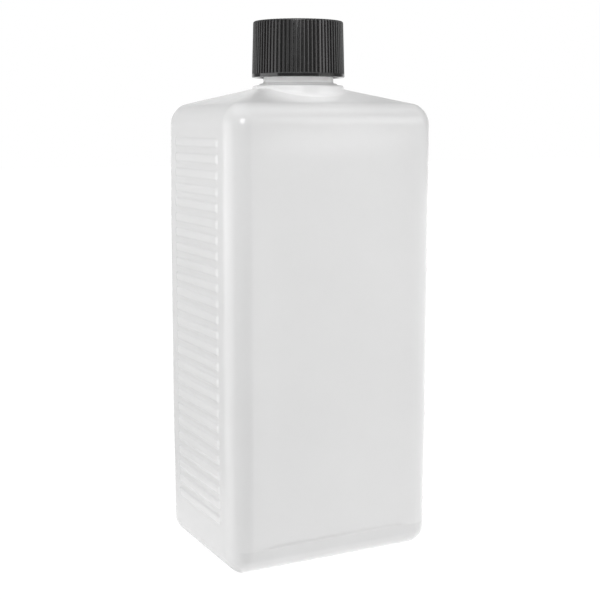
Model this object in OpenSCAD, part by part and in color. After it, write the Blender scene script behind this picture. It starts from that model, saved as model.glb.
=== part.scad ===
// Square media bottle with a screw cap, about half a litre.
// Millimetres, +Z up. The origin is the centre of the base, in the plane the bottle stands on.
// X runs along the wide faces, Y along the narrow ribbed sides.

/* [Body] */
// Width of the body across its wide faces
body_w = 72; // [66:1:80]
// Depth of the body across its narrow sides
body_d = 55; // [50:1:60]
// Height at which the straight walls end and the shoulder rounding starts
wall_top = 139.3; // [138.8:0.1:160]
// Radius of the four upright corners
corner_r = 7; // [6:0.5:9]
// Radius of the rounding between the walls and the base
heel_r = 6.6; // [5:0.2:7]
// Radius of the rounding between the walls and the shoulder
shoulder_r = 7.3; // [6:0.1:8]
// Rise of the four sloping shoulder faces, in degrees
shoulder_rise = 16.2; // [14:0.1:18]
// Softness of the four hips where the shoulder faces meet
hip_r = 3; // [2:0.5:4]
// Wall thickness of the blown body
wall = 1; // [0.8:0.1:1.4]
// Width of the flat ring that the bottle stands on
foot_w = 2.5; // [2:0.5:4]
// Height of the hollow under the base
push_up = 1.6; // [1:0.2:2.4]
// Run of the hollow's slope, from the standing ring to its flat middle
push_slope = 3.2; // [2.4:0.2:4.8]
// Radius of the hollow's corners
push_corner_r = 3; // [2.5:0.5:4]

/* [Label panels] */
// Depth of the recessed panel on each wide face
panel_depth = 0.35; // [0.25:0.05:0.6]
// Height of the step along the panel's foot, above the base
panel_z = 8.6; // [8:0.2:12]
// Distance from the panel's upper edge to the end of the straight walls
panel_top_gap = 0.8; // [0.6:0.2:4]
// Width of the soft slope that leads down to the panel at its sides and top
panel_blend = 9; // [5:0.5:12]
// Radius of the panel's corners
panel_r = 2; // [1.5:0.5:3]

/* [Grip ribs] */
// Number of ribs on each narrow side
rib_count = 25; // [10:1:25]
// Distance from one rib to the next
rib_pitch = 4.9; // [4:0.1:4.9]
// Height of the lowest rib's middle above the base
rib_z = 16.4; // [12:0.1:16.6]
// Width of a rib
rib_w = 3.1; // [2.4:0.1:3.6]
// How far a rib stands proud of the wall
rib_h = 0.42; // [0.3:0.02:0.6]
// Length of a rib, over its round ends
rib_len = 35.4; // [28:0.2:37]

/* [Neck] */
// Outer radius of the thread on the neck
thread_r = 12.5; // [12:0.1:13]
// Height of the thread above the neck
thread_h = 1.1; // [1:0.05:1.2]
// Rise of the thread in one turn
thread_pitch = 3; // [2.8:0.1:3.4]
// Turns of the thread on the neck
neck_turns = 1.9; // [1.2:0.1:2]
// Distance from the rim down to the middle of the thread's upper end
thread_start = 2.7; // [2.5:0.1:3.2]
// Wall thickness of the neck
neck_wall = 1.8; // [1.5:0.1:2.1]
// Height of the rim above the top of the boss
neck_h = 17.6; // [17.2:0.2:20]
// How far the round boss under the neck stands out from the neck
boss_step = 3.5; // [3.4:0.1:4]
// Height of the boss above the shoulder at its sides
boss_rise = 1.15; // [1.1:0.05:2]
// Radius of the edge round the top of the boss
boss_edge_r = 0.9; // [0.6:0.1:1]
// Wall thickness of the boss
boss_wall = 1.6; // [1.4:0.1:1.8]
// Height of the small collar on top of the boss
collar_h = 0.6; // [0.4:0.1:0.8]
// How far the collar stands out from the neck
collar_step = 1.3; // [1:0.1:1.6]
// Width of the bevel on the rim's outer edge
rim_edge = 0.4; // [0.3:0.05:0.5]
// Width of the neck's thread at its root
neck_root_w = 1.7; // [1.6:0.05:1.8]
// Width of the neck's thread at its crest
neck_crest_w = 0.9; // [0.8:0.05:0.95]

/* [Cap] */
// Height of the cap
cap_h = 17.9; // [16.5:0.1:18.6]
// Thickness of the cap's top
cap_top_t = 2.1; // [1.6:0.1:2.4]
// Thickness of the skirt behind the grip ribs, at its lower edge
skirt_t = 1.7; // [1.5:0.1:2.1]
// Slope of the skirt's outside, in degrees
cap_taper = 1.55; // [1:0.05:2]
// Radius of the edge round the top of the cap
cap_edge_r = 0.5; // [0.4:0.1:0.8]
// Number of grip ribs round the cap
knurl_count = 72; // [48:4:72]
// Radius of each grip rib
knurl_r = 0.43; // [0.42:0.01:0.46]
// How far a grip rib stands proud of the skirt
knurl_h = 0.43; // [0.34:0.01:0.44]
// Height of the plain band round the cap's lower edge
cap_band_h = 1.3; // [1:0.1:2]
// Turns of the thread inside the cap
cap_turns = 1.5; // [1:0.1:1.8]
// Width of the cap's thread at its root
cap_root_w = 1.3; // [1.2:0.05:1.35]
// Width of the cap's thread at its crest
cap_crest_w = 0.6; // [0.5:0.05:0.65]
// Width of the lead-in bevel at the cap's open end
cap_lead = 0.6; // [0.4:0.1:0.8]
// Height of the bead inside the cap that keeps the sealing disc in place
bead_h = 0.5; // [0.4:0.1:0.8]
// How far the bead stands in from the cap's bore
bead_reach = 0.5; // [0.3:0.1:0.6]

/* [Liner] */
// Thickness of the sealing disc
liner_t = 0.7; // [0.6:0.05:0.75]

/* [Clearances] */
// Radial gap between each thread and the wall that it runs along
thread_gap = 0.4; // [0.35:0.05:0.45]
// Gap between the flanks of the two threads with the cap tight
flank_gap = 0.22; // [0.2:0.01:0.3]
// Gap round the edge of the sealing disc
liner_gap = 0.3; // [0.25:0.05:0.4]

/* [Hidden] */
$fn = 96;
// Segments in a quarter turn of a lofted corner
CORNER_STEPS = 8;
// Steps round the heel and the shoulder edge
EDGE_STEPS = 8;
// Angle between two sections of a thread
THREAD_STEP = 12;
// Angle over which a thread grows to its full height
THREAD_RAMP = 36;
// How far each end of a thread lies inside its wall
THREAD_SINK = 0.1;
// Overlap of solids that are joined or cut, so that no faces coincide
EPS = 0.3;
// How far a cut runs on past an open end
CLEAR = 1;
// Least corner radius of the blown body, and the least straight stretch between two corners
SOFT = 0.4;
STRAIGHT = 0.2;
// Half width of the narrow flat left along the shoulder's ridge
RIDGE = 1;

body_natural = "#E9EAE8";
cap_black = "#1C1D1F";
liner_white = "#F4F3EE";

// Shoulder
rise_tan = tan(shoulder_rise);
arc_end = 90 - shoulder_rise;
eave_inset = shoulder_r * (1 - cos(arc_end));
eave_z = wall_top + shoulder_r * sin(arc_end);
// Height of the outer shoulder surface at an inset from the walls
function roof_z(inset) = eave_z + (inset - eave_inset) * rise_tan;

// Neck
neck_r = thread_r - thread_h;
bore_r = neck_r - neck_wall;
boss_r = neck_r + boss_step;
boss_z = roof_z(body_w / 2 - boss_r) + boss_rise;
rim_z = boss_z + neck_h;
// Where the shoulder meets the boss at its lowest, above the middle of the wide faces
boss_foot_z = roof_z(body_d / 2 - boss_r);
// How deep the boss reaches into the wall there, and its hollow below it
boss_root = 3;
room_reach = 6;
// Bevels inside the boss and round its collar
room_edge = 0.8;
collar_edge = 0.3;
collar_foot = 0.5;

// Cap
cap_bore_r = thread_r + thread_gap;
cap_core_r = cap_bore_r + skirt_t;
cap_top_z = rim_z + liner_t + cap_top_t;
cap_z = cap_top_z - cap_h;
cap_core_top_r = cap_core_r - cap_h * tan(cap_taper);
// How far the plain band stands out past the grip ribs, and the bevel on its edges
cap_band_step = 0.05;
cap_band_edge = 0.2;
liner_r = cap_bore_r - liner_gap;
liner_edge = 0.2;
// Distance from the sealing disc down to the bead
bead_under = 0.3;

// The middle of the neck thread at its lower end, and of the cap thread that hangs under it
neck_thread_z = rim_z - thread_start - neck_turns * thread_pitch;
// Width of each thread on the circle of the neck thread's crest
cap_w_at_crest = cap_root_w - (cap_root_w - cap_crest_w) * thread_gap / (cap_bore_r - neck_r - thread_gap);
thread_drop = (neck_crest_w + cap_w_at_crest) / 2 + flank_gap;

// A rounded rectangle of half sizes a and b with corner radius r, as points, turning anticlockwise
function rounded(a, b, r) = [
    for (q = [0:3], i = [0:CORNER_STEPS])
        let (t = 90 * (q + i / CORNER_STEPS),
             sx = (q == 0 || q == 3) ? 1 : -1,
             sy = q < 2 ? 1 : -1)
        [sx * (a - r) + r * cos(t), sy * (b - r) + r * sin(t)]
];

// Points at one height
function lift(points, z) = [for (p = points) [p[0], p[1], z]];

// A closed solid through rings of points that all have the same number of points
module loft(rings) {
    n = len(rings[0]);
    last = len(rings) - 1;
    polyhedron(
        points = [for (ring = rings) each ring],
        faces = [
            [for (i = [0:n - 1]) i],
            for (k = [0:last - 1], i = [0:n - 1])
                let (j = (i + 1) % n)
                [k * n + i, (k + 1) * n + i, (k + 1) * n + j, k * n + j],
            [for (i = [n - 1:-1:0]) last * n + i]
        ]
    );
}

// One level of the body: inset from the walls, with the corner radius shrinking down to soft
function body_ring(inset, z, soft) =
    let (a = body_w / 2 - inset,
         b = body_d / 2 - inset,
         r = min(max(corner_r - inset, soft), b - STRAIGHT))
    lift(rounded(a, b, r), z);

// The blown form, or the surface parallel to it at a depth t inside. It closes at height end_z, or
// at its ridge where that is lower.
module body_form(t, end_z) {
    heel = heel_r - t;
    edge = shoulder_r - t;
    eave_in = shoulder_r - edge * cos(arc_end);
    eave_up = wall_top + edge * sin(arc_end);
    end_inset = min(eave_in + (end_z - eave_up) / rise_tan, body_d / 2 - RIDGE);
    loft([
        for (i = [0:EDGE_STEPS])
            let (a = 90 * i / EDGE_STEPS)
            body_ring(heel_r - heel * sin(a), heel_r - heel * cos(a), SOFT),
        for (i = [0:EDGE_STEPS])
            let (a = arc_end * i / EDGE_STEPS)
            body_ring(shoulder_r - edge * cos(a), wall_top + edge * sin(a), hip_r * i / EDGE_STEPS + SOFT),
        body_ring(end_inset, eave_up + (end_inset - eave_in) * rise_tan, hip_r + SOFT)
    ]);
}

// What the label panel takes away from the skin at depth t. Its foot is a step at 45 degrees, and its
// sides and top are slopes that run on at the same angle outside the skin.
module panel_press(t) {
    half_w = body_w / 2 - corner_r;
    top_z = wall_top - panel_top_gap;
    spread = panel_blend * EPS / panel_depth;
    // A level of the press: how far its sides and top, and its foot, lie outside the opening in the skin
    function level(out, down, depth) =
        let (half_h = (top_z - panel_z + out + down) / 2,
             mid_z = (top_z + panel_z + out - down) / 2)
        [for (p = rounded(half_w + out, half_h, panel_r)) [p[0], p[1] + mid_z, depth]];
    translate([0, t + panel_depth - body_d / 2, 0])
        rotate([90, 0, 0])
            loft([
                level(-panel_blend, -panel_depth, 0),
                level(spread, EPS, panel_depth + EPS)
            ]);
}

// The blown form with both label panels pressed in
module panelled_form(t, end_z) {
    difference() {
        body_form(t, end_z);
        for (side = [0, 180])
            rotate([0, 0, side])
                panel_press(t);
    }
}

// The hollow under the base, or the surface parallel to it at a depth t inside
module base_press(t) {
    a = body_w / 2 - heel_r - foot_w;
    b = body_d / 2 - heel_r - foot_w;
    // The slope runs on below the base
    spread = EPS * push_slope / push_up;
    mouth = rounded(a + spread, b + spread, push_corner_r + spread);
    translate([0, 0, t])
        loft([
            lift(mouth, -EPS - t),
            lift(mouth, -EPS),
            lift(rounded(a - push_slope, b - push_slope, push_corner_r), push_up)
        ]);
}

// One grip rib on the side towards +X: a long rounded bar, most of it inside the wall
module grip_rib() {
    // Flanks leave the wall at 45 degrees
    bar_r = rib_w / 2 / sin(45);
    sink = bar_r * cos(45);
    // Half length of the bar's straight stretch
    straight = rib_len / 2 - rib_w / 2;
    translate([body_w / 2 - sink, 0, 0])
        rotate([90, 0, 0])
            rotate_extrude()
                intersection() {
                    translate([0, -rib_len])
                        square([bar_r * 2, rib_len * 2]);
                    union() {
                        translate([0, -straight])
                            square([bar_r, 2 * straight]);
                        for (s = [-1, 1])
                            translate([0, s * straight])
                                circle(r = bar_r);
                    }
                }
}

// All the grip ribs of the side towards +X, cut flat on top
module grip_ribs() {
    // The bars stop inside the wall
    root = wall * 0.6;
    intersection() {
        for (i = [0:rib_count - 1])
            translate([0, 0, rib_z + i * rib_pitch])
                grip_rib();
        translate([body_w / 2 - root, -rib_len / 2 - CLEAR, 0])
            cube([root + rib_h, rib_len + 2 * CLEAR, wall_top]);
    }
}

// A helical ridge whose root lies at root_r and its crest at crest_r, starting at height z0
module thread_ridge(root_r, crest_r, root_w, crest_w, turns, z0) {
    steps = ceil(turns * 360 / THREAD_STEP);
    out = crest_r > root_r ? 1 : -1;
    span = abs(crest_r - root_r);
    // The root reaches into the wall, along the same flanks
    sunk_w = root_w + (root_w - crest_w) * EPS / span;
    rings = [
        for (i = [0:steps])
            let (a = i * turns * 360 / steps,
                 z = z0 + thread_pitch * a / 360,
                 ramp = min(1, min(a, turns * 360 - a) / THREAD_RAMP),
                 top = root_r + out * (span * ramp - THREAD_SINK * (1 - ramp)),
                 low = root_r - out * EPS,
                 spin = [cos(a), sin(a)])
            [
                [low * spin[0], low * spin[1], z - sunk_w / 2],
                [low * spin[0], low * spin[1], z + sunk_w / 2],
                [top * spin[0], top * spin[1], z + crest_w / 2],
                [top * spin[0], top * spin[1], z - crest_w / 2]
            ]
    ];
    if (out > 0) loft(rings);
    else loft([for (ring = rings) [ring[3], ring[2], ring[1], ring[0]]]);
}

// Outline of the neck and its boss, filled to the axis
module neck_profile() {
    edge_z = boss_z - boss_edge_r;
    edge_x = boss_r - boss_edge_r;
    collar_r = neck_r + collar_step;
    polygon([
        [0, boss_foot_z - boss_root],
        [boss_r, boss_foot_z - boss_root],
        for (a = [0:18:90]) [edge_x + boss_edge_r * cos(a), edge_z + boss_edge_r * sin(a)],
        [collar_r + collar_edge, boss_z],
        [collar_r, boss_z + collar_edge],
        [collar_r - collar_edge, boss_z + collar_h],
        [neck_r + collar_edge, boss_z + collar_h],
        [neck_r, boss_z + collar_h + collar_foot],
        [neck_r, rim_z - rim_edge],
        [neck_r - rim_edge, rim_z],
        [0, rim_z]
    ]);
}

// Outline of the bore through the neck and the hollow under the boss
module bore_profile() {
    room_r = boss_r - boss_wall;
    room_z = boss_z - boss_wall;
    polygon([
        [0, boss_foot_z - room_reach],
        [room_r, boss_foot_z - room_reach],
        [room_r, room_z - room_edge],
        [room_r - room_edge, room_z],
        [bore_r + room_edge, room_z],
        [bore_r, room_z + room_edge],
        [bore_r, rim_z + CLEAR],
        [0, rim_z + CLEAR]
    ]);
}

// Blow-moulded in one piece: walls, shoulder, boss, neck and thread
module bottle() {
    color(body_natural)
        difference() {
            union() {
                panelled_form(0, boss_z - boss_edge_r);
                for (side = [0, 180])
                    rotate([0, 0, side])
                        grip_ribs();
                rotate_extrude()
                    neck_profile();
                thread_ridge(neck_r, thread_r, neck_root_w, neck_crest_w, neck_turns, neck_thread_z);
            }
            difference() {
                panelled_form(wall, boss_z - boss_wall);
                base_press(wall);
            }
            base_press(0);
            rotate_extrude()
                bore_profile();
        }
}

// Outline of the cap without its grip ribs, filled to the axis
module cap_profile() {
    edge_x = cap_core_top_r - cap_edge_r;
    edge_z = cap_top_z - cap_edge_r;
    band_r = cap_core_r + knurl_h + cap_band_step;
    polygon([
        [0, cap_z],
        [band_r - cap_band_edge, cap_z],
        [band_r, cap_z + cap_band_edge],
        [band_r, cap_z + cap_band_h - cap_band_edge],
        [band_r - cap_band_edge, cap_z + cap_band_h],
        [cap_core_r - cap_band_h * tan(cap_taper), cap_z + cap_band_h],
        for (a = [0:15:90]) [edge_x + cap_edge_r * cos(a), edge_z + cap_edge_r * sin(a)],
        [0, cap_top_z]
    ]);
}

// Outline that rounds off the upper ends of the grip ribs
module knurl_envelope() {
    edge_x = cap_core_top_r + knurl_h - cap_edge_r;
    edge_z = cap_top_z - cap_edge_r;
    polygon([
        [0, cap_z],
        [cap_core_r + knurl_h + CLEAR, cap_z],
        [cap_core_r + knurl_h + CLEAR, edge_z],
        for (a = [0:22.5:90]) [edge_x + cap_edge_r * cos(a), edge_z + cap_edge_r * sin(a)],
        [0, cap_top_z]
    ]);
}

// Outline of the hollow inside the cap, with the bead that keeps the disc in
module cap_hollow() {
    seat_z = rim_z + liner_t;
    bead_z = rim_z - bead_under;
    polygon([
        [0, cap_z - CLEAR],
        [cap_bore_r + cap_lead + CLEAR, cap_z - CLEAR],
        [cap_bore_r + cap_lead, cap_z],
        [cap_bore_r, cap_z + cap_lead],
        [cap_bore_r, bead_z - bead_h],
        [cap_bore_r - bead_reach, bead_z - bead_h / 2],
        [cap_bore_r, bead_z],
        [cap_bore_r, seat_z],
        [0, seat_z]
    ]);
}

module screw_cap() {
    color(cap_black)
        union() {
            difference() {
                union() {
                    rotate_extrude()
                        cap_profile();
                    intersection() {
                        for (i = [0:knurl_count - 1])
                            rotate([0, 0, i * 360 / knurl_count])
                                translate([cap_core_r + knurl_h - knurl_r, 0, cap_z])
                                    rotate([0, -cap_taper, 0])
                                        translate([0, 0, cap_band_h / 2])
                                            cylinder(r = knurl_r, h = cap_h, $fn = 24);
                        rotate_extrude()
                            knurl_envelope();
                    }
                }
                rotate_extrude()
                    cap_hollow();
            }
            thread_ridge(cap_bore_r, neck_r + thread_gap, cap_root_w, cap_crest_w, cap_turns,
                         neck_thread_z - thread_drop);
        }
}

module cap_liner() {
    color(liner_white)
        rotate_extrude()
            polygon([
                [0, rim_z],
                [liner_r - liner_edge, rim_z],
                [liner_r, rim_z + liner_edge],
                [liner_r, rim_z + liner_t - liner_edge],
                [liner_r - liner_edge, rim_z + liner_t],
                [0, rim_z + liner_t]
            ]);
}

bottle();
screw_cap();
cap_liner();
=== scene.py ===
"""Looks of the square media bottle: a milky blow-moulded body, a ribbed black cap and its disc.

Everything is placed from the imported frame. The body's shape is worked out in millimetres, and
make_mesh() turns it into metres. Materials, lights and the camera are in metres.
"""
import math

import bpy
import numpy as np
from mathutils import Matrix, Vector


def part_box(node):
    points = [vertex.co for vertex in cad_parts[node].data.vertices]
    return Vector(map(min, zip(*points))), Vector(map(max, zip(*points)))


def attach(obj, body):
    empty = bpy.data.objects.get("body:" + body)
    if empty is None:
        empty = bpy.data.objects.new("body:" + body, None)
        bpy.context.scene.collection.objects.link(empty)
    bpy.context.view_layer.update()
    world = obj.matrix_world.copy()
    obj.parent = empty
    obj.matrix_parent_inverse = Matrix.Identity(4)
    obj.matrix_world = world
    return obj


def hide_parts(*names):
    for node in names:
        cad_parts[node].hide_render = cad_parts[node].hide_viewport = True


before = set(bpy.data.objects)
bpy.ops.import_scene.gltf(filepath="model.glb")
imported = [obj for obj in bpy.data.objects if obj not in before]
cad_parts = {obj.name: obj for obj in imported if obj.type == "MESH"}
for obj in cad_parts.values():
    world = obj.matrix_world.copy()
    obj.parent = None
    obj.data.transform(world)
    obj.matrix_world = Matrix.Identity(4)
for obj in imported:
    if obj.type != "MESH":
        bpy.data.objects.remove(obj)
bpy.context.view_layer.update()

MM = 0.001


# ---------------------------------------------------------------- sizes

def high_corner(node):
    """The far upper corner of a piece of the frame, in millimetres."""
    _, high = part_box(node)
    return np.array(high) / MM


bottle_high = high_corner("bottle")
# Height of the closed cap's top, in metres
CAP_TOP = high_corner("screw_cap")[2] * MM

# Grip ribs on the narrow sides
RIB_H = 0.42
RIB_W = 3.1
RIB_LEN = 35.4
RIB_COUNT = 25
RIB_PITCH = 4.9
RIB_Z = 16.4
# The width of a rib's rounded flank, and how far its foot lies outside the rib's own width
RIB_FLANK = 0.85
RIB_SPREAD = 0.15

# Body
HALF_W = bottle_high[0] - RIB_H
HALF_D = bottle_high[1]
RIM_Z = bottle_high[2]
CORNER_R = 7.0
LEAST_CORNER_R = 0.4
HEEL_R = 6.6
SHOULDER_R = 7.3
WALL_TOP = 139.3
RISE = math.radians(16.2)
HIP_R = 3.4
WALL = 1.0
FOOT_W = 2.5
PUSH_UP = 1.6
# Blow-moulded walls bow out a little between the heel and the shoulder
BELLY = 0.28
BELLY_LOW = 12.0
BELLY_BLEND = 34.0

# Label panel on each wide face: a crisp step along its foot, and wide soft blends at its sides
# and top
PANEL_DEPTH = 0.35
PANEL_STEP = 0.45
PANEL_BLEND = 9.0
PANEL_HALF_W = HALF_W - CORNER_R
PANEL_LOW = 8.6
PANEL_HIGH = WALL_TOP - 0.8

# Boss and neck
NECK_R = 11.4
BORE_R = 9.6
BOSS_R = 14.9
BOSS_Z = RIM_Z - 17.6
BOSS_EDGE = 0.9
BOSS_FILLET = 1.3
# The fillet takes up no more than this share of the boss's wall
FILLET_SHARE = 0.8
BOSS_WALL = 2.6
ROOM_R = BOSS_R - BOSS_WALL
ROOM_Z = BOSS_Z - BOSS_WALL
COLLAR_R = NECK_R + 1.3
RIM_EDGE = 0.4

# Thread of the neck
THREAD_H = 1.1
THREAD_PITCH = 3.0
THREAD_TURNS = 1.9
THREAD_TOP = RIM_Z - 2.7
THREAD_LOW = THREAD_TOP - THREAD_TURNS * THREAD_PITCH
# Half the width of its foot, the width of each flank, and the length of its eased ends
THREAD_FOOT = 0.95
THREAD_FLANK = 0.55
THREAD_RAMP = math.radians(36)


# ---------------------------------------------------------------- levels and columns of the body

def mirrored(values):
    """Ascending values with their negatives put in front."""
    return [-v for v in reversed(values) if v > 0] + list(values)


# Where the columns stand on a narrow side and on a wide face, and the angles round a corner
NARROW_Y = mirrored([0, 1.9, 3.8, 5.7, 7.6, 9.5, 11.4, 13.3, 14.8, 15.7, 16.2, 16.6,
                     16.9, 17.15, 17.35, 17.55, 17.75, 17.95, 18.3, 19.3])
WIDE_X = mirrored([0, 2, 4, 6, 8, 10, 12, 14, 16, 18, 20, 22, 24, 25.6, 26.8, 27.6,
                   28.2, 28.6, 28.85])
CORNER_DEG = [0, 7, 15, 24, 33, 42, 51, 60, 68, 75, 81, 84.8, 86, 87, 88, 89, 90]

# How many steps each rounding and slope takes
EDGE_STEPS = 12
ROOF_STEPS = 8
BOSS_STEPS = 6
INNER_EDGE_STEPS = 8
INNER_ROOF_STEPS = 4
THREAD_RINGS = 42
# How far the thread's levels go on above and below it
THREAD_MARGIN = 1.2

# Insets at which the standing ring and the slope of the raised base end
FOOT_IN = HEEL_R + FOOT_W
PRESS_IN = FOOT_IN + 2 * PUSH_UP
# Levels of the underside, from its middle to the standing ring: inset, height, corner radius
UNDERSIDE = [
    (24, PUSH_UP, 2),
    (18, PUSH_UP, 2),
    (PRESS_IN + 1.5, PUSH_UP, 2),
    (PRESS_IN + 0.3, PUSH_UP - 0.03, 2),
    (PRESS_IN - 0.4, PUSH_UP - 0.2, 2.2),
    (FOOT_IN + 0.5, 0.22, 2.8),
    (FOOT_IN, 0.05, 3),
    (FOOT_IN - 0.4, 0, 2.4),
]
# Heights of the outer wall's levels: at the panel's foot, on the ribs and below the shoulder
RIB_ROWS = [-1.7, -1.45, -1.15, -0.8, 0.8, 1.15, 1.45, 1.7]
WALL_LEVELS = [
    *[7.3, 7.7, 7.95, 8.1, 8.2, 8.3, 8.4, 8.5, 8.6, 8.8, 9.4, 10.8, 12.6],
    *[RIB_Z + k * RIB_PITCH + up for k in range(RIB_COUNT) for up in RIB_ROWS],
    *[WALL_TOP - gap for gap in (2.6, 1.6, 1.0, 0.8, 0.7, 0.6, 0.5, 0.4, 0.3, 0.2, 0.1)],
]
# Collar round the neck's foot: radius, and height over the boss
COLLAR = [
    (COLLAR_R + 0.6, 0.02),
    (COLLAR_R + 0.25, 0.1),
    (COLLAR_R + 0.05, 0.25),
    (COLLAR_R - 0.1, 0.42),
    (COLLAR_R - 0.3, 0.55),
    (COLLAR_R - 0.6, 0.62),
    (NECK_R + 0.35, 0.68),
    (NECK_R + 0.1, 0.82),
    (NECK_R, 1.1),
]
# Rim, from outside to inside: radius, and depth below its top
RIM = [
    (NECK_R, 0.45),
    (NECK_R - 0.12, 0.12),
    (NECK_R - RIM_EDGE, 0),
    (BORE_R + 0.3, 0),
    (BORE_R + 0.08, 0.1),
    (BORE_R, 0.35),
]
# Foot of the bore and ceiling of the hollow under the boss: radius and height
CEILING = [
    (BORE_R, ROOM_Z + 1.2),
    (BORE_R + 0.3, ROOM_Z + 0.4),
    (BORE_R + 1.1, ROOM_Z),
    (ROOM_R - 0.9, ROOM_Z),
    (ROOM_R - 0.25, ROOM_Z - 0.25),
]
# The hollow's side goes down at least this far from its ceiling, and its slope starts this far out
ROOM_DROP = 0.6
ROOM_MARGIN = 1
# Heights of the inner wall's levels, downwards
INNER_LEVELS = [
    PANEL_HIGH + PANEL_STEP, PANEL_HIGH, PANEL_HIGH - 1, 128, 117, 105, 46, 34, 23,
    PANEL_LOW + 1, PANEL_LOW, PANEL_LOW - PANEL_STEP,
]
# Levels of the inside of the base, inwards: inset, height, corner radius
INNER_BASE = [
    (FOOT_IN, WALL, 3),
    (PRESS_IN, WALL + PUSH_UP, 2),
    (20, WALL + PUSH_UP, 2),
]
# How straight out a column must face to lie on a wide face or on a narrow side
FACE_NORMAL = 0.97
SIDE_NORMAL = 0.999


def make_columns():
    """Each column's place, as a share of both straight sides, and its normal, as four arrays.

    The columns run anticlockwise from the front end of the right side.
    """
    rows = []
    narrow_half = HALF_D - CORNER_R
    wide_half = HALF_W - CORNER_R
    for quarter in range(4):
        sx = 1 if quarter in (0, 3) else -1
        sy = 1 if quarter < 2 else -1
        angles = [math.radians(a) for a in CORNER_DEG]
        if quarter in (1, 3):
            angles = angles[::-1]
        if quarter == 0:
            rows += [(1, y / narrow_half, 1, 0) for y in NARROW_Y]
        if quarter == 2:
            rows += [(-1, -y / narrow_half, -1, 0) for y in NARROW_Y]
        if quarter == 1:
            rows += [(-x / wide_half, 1, 0, 1) for x in WIDE_X]
        if quarter == 3:
            rows += [(x / wide_half, -1, 0, -1) for x in WIDE_X]
        rows += [(sx, sy, sx * math.cos(a), sy * math.sin(a)) for a in angles]
    return [np.array(c, float) for c in zip(*rows)]


SHARE_X, SHARE_Y, NORMAL_X, NORMAL_Y = make_columns()
COLUMNS = len(SHARE_X)


# ---------------------------------------------------------------- body mesh

def smooth(t):
    """A smooth step from 0 to 1."""
    t = np.clip(t, 0, 1)
    return t * t * (3 - 2 * t)


def ring(inset, z, least_radius=LEAST_CORNER_R, radius=None):
    """One level of the body, set in from the walls, as an array of points."""
    a, b = HALF_W - inset, HALF_D - inset
    r = radius if radius is not None else max(CORNER_R - inset, least_radius)
    x = SHARE_X * (a - r) + NORMAL_X * r
    y = SHARE_Y * (b - r) + NORMAL_Y * r
    return np.stack([x, y, np.full(COLUMNS, float(z))], axis=1)


def panel_recess(x, z):
    """How far the label panel lies behind the face at a place on it."""
    side = smooth((PANEL_HALF_W - np.abs(x)) / PANEL_BLEND)
    top = smooth((PANEL_HIGH - z) / PANEL_BLEND)
    foot = smooth((z - PANEL_LOW) / PANEL_STEP)
    return PANEL_DEPTH * side * top * foot


def rib_height(y, z):
    """How far the nearest grip rib stands out at a place on a narrow side."""
    k = np.clip(np.round((z - RIB_Z) / RIB_PITCH), 0, RIB_COUNT - 1)
    up = z - RIB_Z - k * RIB_PITCH
    along = np.maximum(np.abs(y) - (RIB_LEN - RIB_W) / 2, 0)
    edge = RIB_W / 2 + RIB_SPREAD - np.hypot(along, up)
    return RIB_H * smooth(edge / RIB_FLANK)


def pressed(points, ribs=True):
    """The ring with its bowed walls, the label panels pressed in and the grip ribs raised."""
    x, y, z = points.T
    low_end = smooth((z - BELLY_LOW) / BELLY_BLEND)
    high_end = smooth((WALL_TOP - z) / BELLY_BLEND)
    belly = BELLY * low_end * high_end
    x, y = x + belly * NORMAL_X, y + belly * NORMAL_Y
    on_face = np.abs(NORMAL_Y) > FACE_NORMAL
    y = y - np.sign(y) * np.where(on_face, panel_recess(x, z), 0)
    if ribs:
        on_side = np.abs(NORMAL_X) > SIDE_NORMAL
        x = x + np.sign(x) * np.where(on_side, rib_height(y, z), 0)
    return np.stack([x, y, z], axis=1)


def heel_arc(t, i, steps):
    """Inset and height on the rounding under the walls, at depth t inside the outer skin."""
    a = math.pi / 2 * i / steps
    return HEEL_R - (HEEL_R - t) * math.sin(a), HEEL_R - (HEEL_R - t) * math.cos(a)


def edge_arc(t, i, steps):
    """Inset and height on the rounding over the walls, at depth t inside the outer skin."""
    a = (math.pi / 2 - RISE) * i / steps
    return SHOULDER_R - (SHOULDER_R - t) * math.cos(a), WALL_TOP + (SHOULDER_R - t) * math.sin(a)


def edge_ring(t, i, steps):
    """A level of the rounding over the walls, whose corners grow from the least to the hips'."""
    least_radius = LEAST_CORNER_R + (HIP_R - LEAST_CORNER_R) * i / steps
    return ring(*edge_arc(t, i, steps), least_radius)


def roof_height(x, y, t):
    """Height of the sloping shoulder over a place, at depth t inside the outer skin."""
    p = np.abs(x) - HALF_W + HIP_R
    q = np.abs(y) - HALF_D + HIP_R
    straight = HIP_R - np.maximum(p, q)
    on_hip = np.abs(p - q) < HIP_R
    turned = (-(p + q) + np.sqrt(np.maximum(2 * HIP_R ** 2 - (p - q) ** 2, 0))) / 2
    inset = np.where(on_hip, turned, straight)
    start_inset, start_z = edge_arc(t, 1, 1)
    return start_z + (inset - start_inset) * math.tan(RISE)


# Direction of each column as seen from the axis, taken where the shoulder's slope begins
_eave = ring(*edge_arc(0, 1, 1), HIP_R)
_reach = np.hypot(_eave[:, 0], _eave[:, 1])
RAY_X, RAY_Y = _eave[:, 0] / _reach, _eave[:, 1] / _reach


def circle(radius, z):
    """One level of the boss or neck."""
    return np.stack([radius * RAY_X, radius * RAY_Y, np.full(COLUMNS, float(z))], axis=1)


def towards_axis(start, radius, steps, t):
    """Rings that run over the shoulder from start to a circle round the neck."""
    end = circle(radius, 0)
    rings = []
    for i in range(1, steps + 1):
        points = start + (end - start) * i / steps
        points[:, 2] = roof_height(points[:, 0], points[:, 1], t)
        rings.append(points)
    return rings


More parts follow.
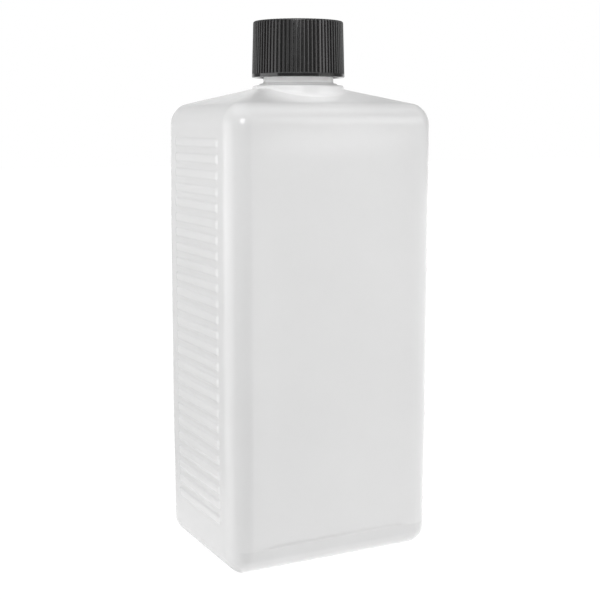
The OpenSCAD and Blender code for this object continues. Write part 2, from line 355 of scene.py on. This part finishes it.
def thread_height(z):
    """How far the thread stands out of the neck on each column at height z."""
    turn = np.arctan2(RAY_Y, RAY_X) % (2 * math.pi)
    height = np.zeros(COLUMNS)
    for k in range(math.ceil(THREAD_TURNS)):
        angle = turn + 2 * math.pi * k
        from_end = np.minimum(angle, THREAD_TURNS * 2 * math.pi - angle)
        middle = THREAD_LOW + THREAD_PITCH * angle / (2 * math.pi)
        flank = smooth((THREAD_FOOT - np.abs(z - middle)) / THREAD_FLANK)
        height = np.maximum(height, smooth(from_end / THREAD_RAMP) * flank)
    return THREAD_H * height


def outer_rings():
    """The levels from the middle of the underside up to the shoulder and the boss."""
    rings = [ring(inset, z, radius=radius) for inset, z, radius in UNDERSIDE]
    for i in range(EDGE_STEPS + 1):
        rings.append(pressed(ring(*heel_arc(0, i, EDGE_STEPS)), ribs=False))
    rings += [pressed(ring(0, z)) for z in WALL_LEVELS]
    rings += [edge_ring(0, i, EDGE_STEPS) for i in range(EDGE_STEPS + 1)]
    rings += towards_axis(rings[-1], BOSS_R + BOSS_FILLET, ROOF_STEPS, 0)
    # Fillet between the shoulder and the boss
    wall_end = BOSS_Z - BOSS_EDGE
    start = rings[-1]
    foot = circle(BOSS_R, 0)
    foot[:, 2] = roof_height(foot[:, 0], foot[:, 1], 0)
    above = foot.copy()
    above[:, 2] += np.minimum(BOSS_FILLET, FILLET_SHARE * (wall_end - foot[:, 2]))
    for i in range(1, BOSS_STEPS + 1):
        t = i / BOSS_STEPS
        rings.append(start * (1 - t) ** 2 + foot * 2 * t * (1 - t) + above * t * t)
    # Rounded edge of the boss
    for i in range(BOSS_STEPS + 1):
        a = math.pi / 2 * i / BOSS_STEPS
        radius = BOSS_R - BOSS_EDGE * (1 - math.cos(a))
        rings.append(circle(radius, wall_end + BOSS_EDGE * math.sin(a)))
    return rings


def neck_rings():
    """The levels of the collar, the threaded neck and the rim."""
    rings = [circle(radius, BOSS_Z + up) for radius, up in COLLAR]
    for z in np.linspace(THREAD_LOW - THREAD_MARGIN, THREAD_TOP + THREAD_MARGIN, THREAD_RINGS):
        rings.append(circle(NECK_R + thread_height(z), z))
    return rings + [circle(radius, RIM_Z - down) for radius, down in RIM]


def inner_rings():
    """The levels of the inside, from the foot of the bore down to the middle of the base."""
    rings = [circle(radius, z) for radius, z in CEILING]
    lip = circle(ROOM_R, 0)
    lip[:, 2] = np.minimum(roof_height(lip[:, 0], lip[:, 1], WALL), ROOM_Z - ROOM_DROP)
    rings.append(lip)
    eave = edge_ring(WALL, INNER_EDGE_STEPS, INNER_EDGE_STEPS)
    rings += towards_axis(eave, ROOM_R + ROOM_MARGIN, INNER_ROOF_STEPS, WALL)[::-1]
    down = range(INNER_EDGE_STEPS, -1, -1)
    rings += [edge_ring(WALL, i, INNER_EDGE_STEPS) for i in down]
    rings += [pressed(ring(WALL, z), ribs=False) for z in INNER_LEVELS]
    rings += [ring(*heel_arc(WALL, i, INNER_EDGE_STEPS)) for i in down]
    return rings + [ring(inset, z, radius=radius) for inset, z, radius in INNER_BASE]


def add_object(name, data):
    """A new object in the scene."""
    obj = bpy.data.objects.new(name, data)
    bpy.context.scene.collection.objects.link(obj)
    return obj


def make_mesh(name, rings):
    """A closed mesh through the rings, with a point at the middle of the first and the last."""
    points = np.concatenate(rings)
    start = len(points)
    end = start + 1
    points = np.vstack([points, rings[0].mean(axis=0), rings[-1].mean(axis=0)]) * MM
    faces = []
    for k in range(len(rings) - 1):
        base = k * COLUMNS
        above = base + COLUMNS
        for i in range(COLUMNS):
            j = (i + 1) % COLUMNS
            faces.append((base + i, base + j, above + j, above + i))
    last = (len(rings) - 1) * COLUMNS
    for i in range(COLUMNS):
        j = (i + 1) % COLUMNS
        faces.append((start, j, i))
        faces.append((end, last + i, last + j))
    mesh = bpy.data.meshes.new(name)
    mesh.from_pydata(points.tolist(), [], faces)
    mesh.validate()
    mesh.polygons.foreach_set("use_smooth", [True] * len(mesh.polygons))
    mesh.update()
    return add_object(name, mesh)


# ---------------------------------------------------------------- material nodes

# Most of a noise texture's values lie between these two
NOISE_LOW, NOISE_HIGH = 0.3, 0.7
# Inputs A and B and the output of a Mix node, by the kind of its values
MIX_SOCKETS = {"FLOAT": (2, 3, 0), "RGBA": (6, 7, 2)}


def new_material(name):
    """A new material, its node tree and its shader."""
    mat = bpy.data.materials.new(name)
    mat.use_nodes = True
    tree = mat.node_tree
    return mat, tree, tree.nodes["Principled BSDF"]


def feed(tree, socket, value):
    """Gives an input its value, which is another socket or a number."""
    if isinstance(value, (int, float)):
        socket.default_value = value
    else:
        tree.links.new(value, socket)


def coordinates(tree, kind="Object"):
    """Places on a piece, or directions in the world with the kind Generated."""
    return tree.nodes.new("ShaderNodeTexCoord").outputs[kind]


def axes_of(tree, vector):
    """The X, Y and Z of a vector."""
    node = tree.nodes.new("ShaderNodeSeparateXYZ")
    tree.links.new(vector, node.inputs[0])
    return node.outputs


def noise(tree, scale, detail):
    """A noise texture in the piece's own coordinates, with features about 1/scale metres wide."""
    node = tree.nodes.new("ShaderNodeTexNoise")
    node.inputs["Scale"].default_value = scale
    node.inputs["Detail"].default_value = detail
    tree.links.new(coordinates(tree), node.inputs["Vector"])
    return node.outputs["Fac"]


def colour_range(tree, source, low, high):
    """A colour that goes from low to high as a noise does."""
    node = tree.nodes.new("ShaderNodeValToRGB")
    stops = ((NOISE_LOW, low), (NOISE_HIGH, high))
    for item, (position, colour) in zip(node.color_ramp.elements, stops):
        item.position = position
        item.color = (*colour, 1)
    tree.links.new(source, node.inputs["Fac"])
    return node.outputs["Color"]


def grey_range(tree, source, low, high):
    """A neutral grey that goes from low to high as a noise does."""
    return colour_range(tree, source, (low, low, low), (high, high, high))


def mapped(tree, source, start, end, low, high, kind="LINEAR"):
    """A step from low to high as the source goes from start to end."""
    node = tree.nodes.new("ShaderNodeMapRange")
    node.interpolation_type = kind
    limits = {"From Min": start, "From Max": end, "To Min": low, "To Max": high}
    for name, value in limits.items():
        node.inputs[name].default_value = value
    tree.links.new(source, node.inputs["Value"])
    return node.outputs["Result"]


def value_range(tree, source, low, high):
    """A value that goes from low to high as a noise does."""
    return mapped(tree, source, NOISE_LOW, NOISE_HIGH, low, high)


def eased(tree, source, start, end, low, high):
    """A smooth step from low to high as the source goes from start to end."""
    return mapped(tree, source, start, end, low, high, kind="SMOOTHSTEP")


def bump(tree, source, depth, strength, normal=None):
    """A normal for waves or grain of a depth in metres, laid over another normal if given."""
    node = tree.nodes.new("ShaderNodeBump")
    node.inputs["Distance"].default_value = depth
    node.inputs["Strength"].default_value = strength
    tree.links.new(source, node.inputs["Height"])
    if normal is not None:
        tree.links.new(normal, node.inputs["Normal"])
    return node.outputs["Normal"]


def math_node(tree, operation, a, b=0):
    """A Math node of two values, each a socket or a number."""
    node = tree.nodes.new("ShaderNodeMath")
    node.operation = operation
    feed(tree, node.inputs[0], a)
    feed(tree, node.inputs[1], b)
    return node.outputs[0]


def vector_node(tree, operation, a, b=None):
    """A Vector Math node of a socket and, where it takes two, a fixed vector."""
    node = tree.nodes.new("ShaderNodeVectorMath")
    node.operation = operation
    tree.links.new(a, node.inputs[0])
    if b is not None:
        node.inputs[1].default_value = b
    return node.outputs["Value" if operation in ("LENGTH", "DOT_PRODUCT") else "Vector"]


def blended(tree, factor, a, b, kind="FLOAT"):
    """A plain mix of two values or colours, each a socket or a number."""
    node = tree.nodes.new("ShaderNodeMix")
    node.data_type = kind
    first, second, result = MIX_SOCKETS[kind]
    tree.links.new(factor, node.inputs[0])
    feed(tree, node.inputs[first], a)
    feed(tree, node.inputs[second], b)
    return node.outputs[result]


# ---------------------------------------------------------------- materials

# Darkest and lightest grey of the walls, of thicker plastic with painted glow, and of the painted
# shadow strip at the heel
WALL_GREYS = (0.865, 0.895)
THICK_AND_GLOW_GREYS = (0.92, 0.94)
STRIP_SHADOW_GREYS = (0.80, 0.83)
# Heights between which the wall thickens at the shoulder, and thins out over the heel; there the
# colour is whiter, partly for the thicker plastic and partly as painted glow of light let through
# the walls
SHOULDER_START = (0.138, 0.149)
HEEL_END = (0.003, 0.0055)
HEEL_SHARE = 0.5
# Heights between which the painted shadow strip comes and goes, and distances from the middle
# plane at which a wide face begins
STRIP_START = (0.0042, 0.006)
STRIP_END = (0.0082, 0.0088)
FACE_START = (0.0255, 0.027)
# Added to the roughness of the shoulder
SHOULDER_DULL = 0.02
# Depths below the cap's top between which its matt skin ends
MATT_DEPTHS = (0.0006, 0.0002)
# Darkest and lightest colour of the cap and of the foam
CAP_GREYS = (0.005, 0.009)
FOAM_COLOURS = ((0.74, 0.73, 0.70), (0.84, 0.83, 0.80))
# Least and greatest roughness of the bottle, the cap's ribs, the cap's matt top and the foam
BOTTLE_ROUGHNESS = (0.20, 0.25)
RIB_ROUGHNESS = (0.10, 0.16)
MATT_ROUGHNESS = (0.50, 0.60)
FOAM_ROUGHNESS = (0.5, 0.7)


def natural_plastic():
    """Milky blow-moulded polyethylene: slightly uneven in tone, with a soft satin skin.

    The wall is thickest at the neck and the heel, where its colour is whiter: partly the thicker
    plastic, partly painted glow of the light that the milky walls let through. A darker strip over
    the heel of each wide face is painted shadow of the raised base's edge, seen through the wall
    where it stands clear of the raised base.
    """
    mat, tree, shader = new_material("natural_plastic")
    cloud = noise(tree, scale=28, detail=3)
    thin = grey_range(tree, cloud, *WALL_GREYS)
    # Whiter where the plastic is thicker, with painted glow of the light let through the walls
    thick_and_glow = grey_range(tree, cloud, *THICK_AND_GLOW_GREYS)
    # Painted shadow of the raised base's edge, seen through the wall over the heel
    strip_shadow = grey_range(tree, cloud, *STRIP_SHADOW_GREYS)
    _, depth, height = axes_of(tree, coordinates(tree))
    shoulder = eased(tree, height, *SHOULDER_START, 0, 1)
    heel = eased(tree, height, *HEEL_END, HEEL_SHARE, 0)
    on_face = eased(tree, math_node(tree, "ABSOLUTE", depth), *FACE_START, 0, 1)
    # Where the painted shadow strip lies: a band over the heel, on the wide faces only
    strip = math_node(tree, "MULTIPLY", eased(tree, height, *STRIP_START, 0, 1),
                      eased(tree, height, *STRIP_END, 1, 0))
    strip_on_face = math_node(tree, "MULTIPLY", strip, on_face)
    wall = blended(tree, strip_on_face, thin, strip_shadow, "RGBA")
    # At the shoulder and the heel: whiter plastic and painted glow
    colour = blended(tree, math_node(tree, "MAXIMUM", shoulder, heel), wall, thick_and_glow, "RGBA")
    tree.links.new(colour, shader.inputs["Base Color"])
    skin = value_range(tree, noise(tree, scale=160, detail=3), *BOTTLE_ROUGHNESS)
    duller = math_node(tree, "MULTIPLY", shoulder, SHOULDER_DULL)
    tree.links.new(math_node(tree, "ADD", skin, duller), shader.inputs["Roughness"])
    shader.inputs["Subsurface Weight"].default_value = 0.6
    shader.inputs["Subsurface Radius"].default_value = (1, 1, 1)
    shader.inputs["Subsurface Scale"].default_value = 0.0025
    shader.inputs["IOR"].default_value = 1.54
    waves = bump(tree, noise(tree, scale=45, detail=1), depth=0.0002, strength=0.25)
    grain = bump(tree, noise(tree, scale=1800, detail=2), depth=0.000005, strength=0.2,
                 normal=waves)
    tree.links.new(grain, shader.inputs["Normal"])
    return mat


def black_plastic():
    """Moulded black polypropylene: glossy ribs and a matt top."""
    mat, tree, shader = new_material("black_plastic")
    _, _, height = axes_of(tree, coordinates(tree))
    top = eased(tree, height, *[CAP_TOP - depth for depth in MATT_DEPTHS], 0, 1)
    ribs = value_range(tree, noise(tree, scale=300, detail=3), *RIB_ROUGHNESS)
    matt = value_range(tree, noise(tree, scale=900, detail=3), *MATT_ROUGHNESS)
    black = grey_range(tree, noise(tree, scale=60, detail=3), *CAP_GREYS)
    grain = bump(tree, noise(tree, scale=1200, detail=2), depth=0.00001, strength=0.3)
    tree.links.new(black, shader.inputs["Base Color"])
    tree.links.new(blended(tree, top, ribs, matt), shader.inputs["Roughness"])
    shader.inputs["IOR"].default_value = 1.75
    tree.links.new(grain, shader.inputs["Normal"])
    return mat


def foam():
    """White closed-cell foam of the sealing disc."""
    mat, tree, shader = new_material("liner_foam")
    cells = noise(tree, scale=900, detail=4)
    colour = colour_range(tree, cells, *FOAM_COLOURS)
    grain = bump(tree, noise(tree, scale=1600, detail=3), depth=0.00008, strength=0.6)
    tree.links.new(colour, shader.inputs["Base Color"])
    tree.links.new(value_range(tree, cells, *FOAM_ROUGHNESS), shader.inputs["Roughness"])
    tree.links.new(grain, shader.inputs["Normal"])
    return mat


def dress(obj, material):
    """Gives a piece its material."""
    obj.data.materials.clear()
    obj.data.materials.append(material)


# ---------------------------------------------------------------- pieces

bottle_shell = make_mesh("bottle_shell", outer_rings() + neck_rings() + inner_rings())
dress(bottle_shell, natural_plastic())
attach(bottle_shell, "bottle")
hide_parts("bottle")

dress(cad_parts["screw_cap"], black_plastic())
dress(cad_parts["cap_liner"], foam())


# ---------------------------------------------------------------- stage

FLOOR_SIZE = 6.0
# How much of the floor is its own glow, for the camera and for mirrors
GLOW_SHARE = 0.85
GLOW_SHARE_MIRRORED = 0.9
# Strength of the glow: for the camera, and in mirrors further out, to the left and to the right
GLOW = 1.12
GLOW_DIM = 0.35
GLOW_LEFT = 1.7
GLOW_RIGHT = 3.0
# Distances between which the white of the floor round the bottle fades in mirrors
FLOOR_NEAR = (0.06, 0.13)
# Sectors of the floor, as their middle, half their width and their blend, in degrees
SECTOR_ORIGIN = (-0.034, -0.025, 0)
LEFT_SECTOR = (-17, 27, 3)
BACK_SECTOR = (-117, 30, 8)
RIGHT_SECTOR = (165, 50, 32)

# The world's light comes mostly from low down, and fades between these heights of its direction
LOW_LEVEL = 0.895
TOP_LEVEL = 0.76
LEVEL_HEIGHTS = (0.3, 0.6)
# In mirrors there is a white backdrop this way, with an edge between these cosines, and a dark
# room elsewhere
BACKDROP_YAW = math.radians(27.05)
BACKDROP_DIP = -0.6
BACKDROP_EDGE = (0.52, 0.80)
ROOM_LEVEL = 0.22


def ray_kinds(tree):
    """Two values: 1 for the camera's rays, and 1 for those that mirrors and glass send on."""
    path = tree.nodes.new("ShaderNodeLightPath").outputs
    sent_on = math_node(tree, "MAXIMUM", path["Is Glossy Ray"], path["Is Transmission Ray"])
    return path["Is Camera Ray"], sent_on


def sector(tree, place, azimuth, half_width, blend, low, high):
    """high inside a sector round the bottle, low outside it.

    Azimuths run from the left towards the front.
    """
    a = math.radians(azimuth)
    middle = (-math.cos(a), -math.sin(a), 0)
    towards = vector_node(tree, "DOT_PRODUCT", vector_node(tree, "NORMALIZE", place), middle)
    edge = [math.cos(math.radians(half_width + d)) for d in (blend, -blend)]
    return eased(tree, towards, *edge, low, high)


def make_floor():
    """A pale plain floor that keeps the bottle's shadow and comes to white in the open."""
    mat, tree, paint = new_material("floor_paint")
    paint.inputs["Base Color"].default_value = (0.88, 0.88, 0.88, 1)
    paint.inputs["Roughness"].default_value = 0.12
    paint.inputs["IOR"].default_value = 1.5
    camera_ray, sent_on = ray_kinds(tree)
    # Mirrors see the floor carry on the side lights and the white backdrop, and dim elsewhere
    here = coordinates(tree)
    place = vector_node(tree, "SUBTRACT", here, SECTOR_ORIGIN)
    level = eased(tree, vector_node(tree, "LENGTH", here), *FLOOR_NEAR, 1.0, GLOW_DIM)
    sectors = ((LEFT_SECTOR, GLOW_LEFT), (BACK_SECTOR, 1.0), (RIGHT_SECTOR, GLOW_RIGHT))
    for spread, strength in sectors:
        lit = sector(tree, place, *spread, GLOW_DIM, strength)
        level = math_node(tree, "MAXIMUM", level, lit)
    glow = tree.nodes.new("ShaderNodeEmission")
    tree.links.new(blended(tree, camera_ray, level, GLOW), glow.inputs["Strength"])
    share = math_node(tree, "ADD", math_node(tree, "MULTIPLY", camera_ray, GLOW_SHARE),
                      math_node(tree, "MULTIPLY", sent_on, GLOW_SHARE_MIRRORED))
    mix = tree.nodes.new("ShaderNodeMixShader")
    for socket, source in zip(mix.inputs, (share, paint.outputs[0], glow.outputs[0])):
        tree.links.new(source, socket)
    tree.links.new(mix.outputs[0], tree.nodes["Material Output"].inputs["Surface"])
    mesh = bpy.data.meshes.new("floor")
    h = FLOOR_SIZE / 2
    mesh.from_pydata([(-h, -h, 0), (h, -h, 0), (h, h, 0), (-h, h, 0)], [], [(0, 1, 2, 3)])
    mesh.materials.append(mat)
    floor = add_object("floor", mesh)


def make_world():
    """Soft light from all round, most of it from low down.

    Mirrors see a white backdrop instead, and a darker room above and in front.
    """
    world = bpy.data.worlds.new("studio")
    bpy.context.scene.world = world
    world.use_nodes = True
    tree = world.node_tree
    tree.nodes.clear()
    back = tree.nodes.new("ShaderNodeBackground")
    back.inputs["Color"].default_value = (1, 1, 1, 1)
    towards = coordinates(tree, "Generated")
    _, _, up = axes_of(tree, towards)
    light = eased(tree, up, *LEVEL_HEIGHTS, LOW_LEVEL, TOP_LEVEL)
    middle = Vector((math.sin(BACKDROP_YAW), math.cos(BACKDROP_YAW), BACKDROP_DIP)).normalized()
    facing = vector_node(tree, "DOT_PRODUCT", towards, middle)
    backdrop = eased(tree, facing, *BACKDROP_EDGE, ROOM_LEVEL, 1.0)
    camera_ray, sent_on = ray_kinds(tree)
    seen = math_node(tree, "MAXIMUM", camera_ray, sent_on)
    shown = math_node(tree, "MAXIMUM", camera_ray, backdrop)
    tree.links.new(blended(tree, seen, light, shown), back.inputs["Strength"])
    out = tree.nodes.new("ShaderNodeOutputWorld")
    tree.links.new(back.outputs[0], out.inputs["Surface"])


# ---------------------------------------------------------------- lights

# Places of the studio lights
LEFT = (-0.86, 0.26, 0.17)
RIGHT = (0.66, -0.62, 0.30)
RIGHT_HIGH = (0.64, -0.64, 0.46)
ABOVE = (-0.10, -0.20, 0.95)
FRONT_HIGH = (-0.45, -0.81, 0.52)
FRONT_HIGH_CARD = (-0.445, -0.80, 0.515)

# Rectangular lights: name, place, height of the point they face on the axis, width, height,
# power and kind
SOFT_BOXES = [
    ("left_box", LEFT, 0.12, 0.95, 0.34, 1.35, "box"),
    ("left_fill", LEFT, 0.12, 0.95, 0.34, 0.9, "fill"),
    ("right_box", RIGHT, 0.09, 0.8, 0.5, 0.45, "box"),
    ("right_card", RIGHT_HIGH, 0.16, 0.65, 0.5, 2.0, "card"),
    ("top_card", ABOVE, 0.15, 1.3, 1.0, 5.0, "card"),
    ("key", FRONT_HIGH, 0.09, 0.20, 0.20, 0.4, "box"),
    ("key_card", FRONT_HIGH_CARD, 0.09, 0.36, 0.36, 3.0, "card"),
]
# Lamps on the axis inside the bottle: name, height, radius, power and type
GLOWS = [
    ("shoulder_glow", 0.142, 0.022, 0.007, "AREA"),
    ("neck_glow", 0.1545, 0.003, 0.0036, "POINT"),
]


def make_soft_box(name, place, aim_z, width, height, power, kind):
    """A rectangular studio light. A card shows in reflections only, and a fill never does."""
    light = bpy.data.lights.new(name, "AREA")
    light.shape = "RECTANGLE"
    light.size = width
    light.size_y = height
    light.energy = power
    obj = add_object(name, light)
    obj.location = place
    aim = Vector((0, 0, aim_z)) - Vector(place)
    obj.rotation_euler = aim.to_track_quat("-Z", "Y").to_euler()
    obj.visible_camera = False
    obj.visible_diffuse = kind != "card"
    obj.visible_glossy = kind != "fill"


def make_glow(name, height, radius, power, kind):
    """A disc that faces up, or a small ball.

    It stands for the light that the milky walls let into the bottle, which scattering doesn't
    carry on inside.
    """
    light = bpy.data.lights.new(name, kind)
    light.energy = power
    if kind == "AREA":
        light.shape = "DISK"
        light.size = 2 * radius
    else:
        light.shadow_soft_size = radius
    obj = add_object(name, light)
    obj.location = (0, 0, height)
    obj.rotation_euler = (math.pi, 0, 0)


# ---------------------------------------------------------------- camera

IMAGE_PX = 600
FOCAL_PX = 1173.1
# Where the camera's axis meets the picture
AXIS_PX = (300, 265.2)
YAW = math.radians(27.127)
PITCH = math.radians(7.06)
CAMERA_PLACE = (-0.17553, -0.34393, 0.141)
SENSOR_MM = 36


def make_camera():
    """A camera close to the bottle and about as high as its shoulder.

    The picture is shifted only so far that the whole bottle stays in it from any other side.
    """
    camera = bpy.data.cameras.new("camera")
    camera.sensor_width = SENSOR_MM
    camera.lens = FOCAL_PX / IMAGE_PX * SENSOR_MM
    camera.shift_x = (IMAGE_PX / 2 - AXIS_PX[0]) / IMAGE_PX
    camera.shift_y = (AXIS_PX[1] - IMAGE_PX / 2) / IMAGE_PX
    obj = add_object("camera", camera)
    obj.location = CAMERA_PLACE
    level = math.cos(PITCH)
    ahead = Vector((math.sin(YAW) * level, math.cos(YAW) * level, -math.sin(PITCH)))
    obj.rotation_euler = ahead.to_track_quat("-Z", "Y").to_euler()
    bpy.context.scene.camera = obj


make_floor()
make_world()
for row in SOFT_BOXES:
    make_soft_box(*row)
for row in GLOWS:
    make_glow(*row)
make_camera()
bpy.context.scene.view_settings.view_transform = "Standard"
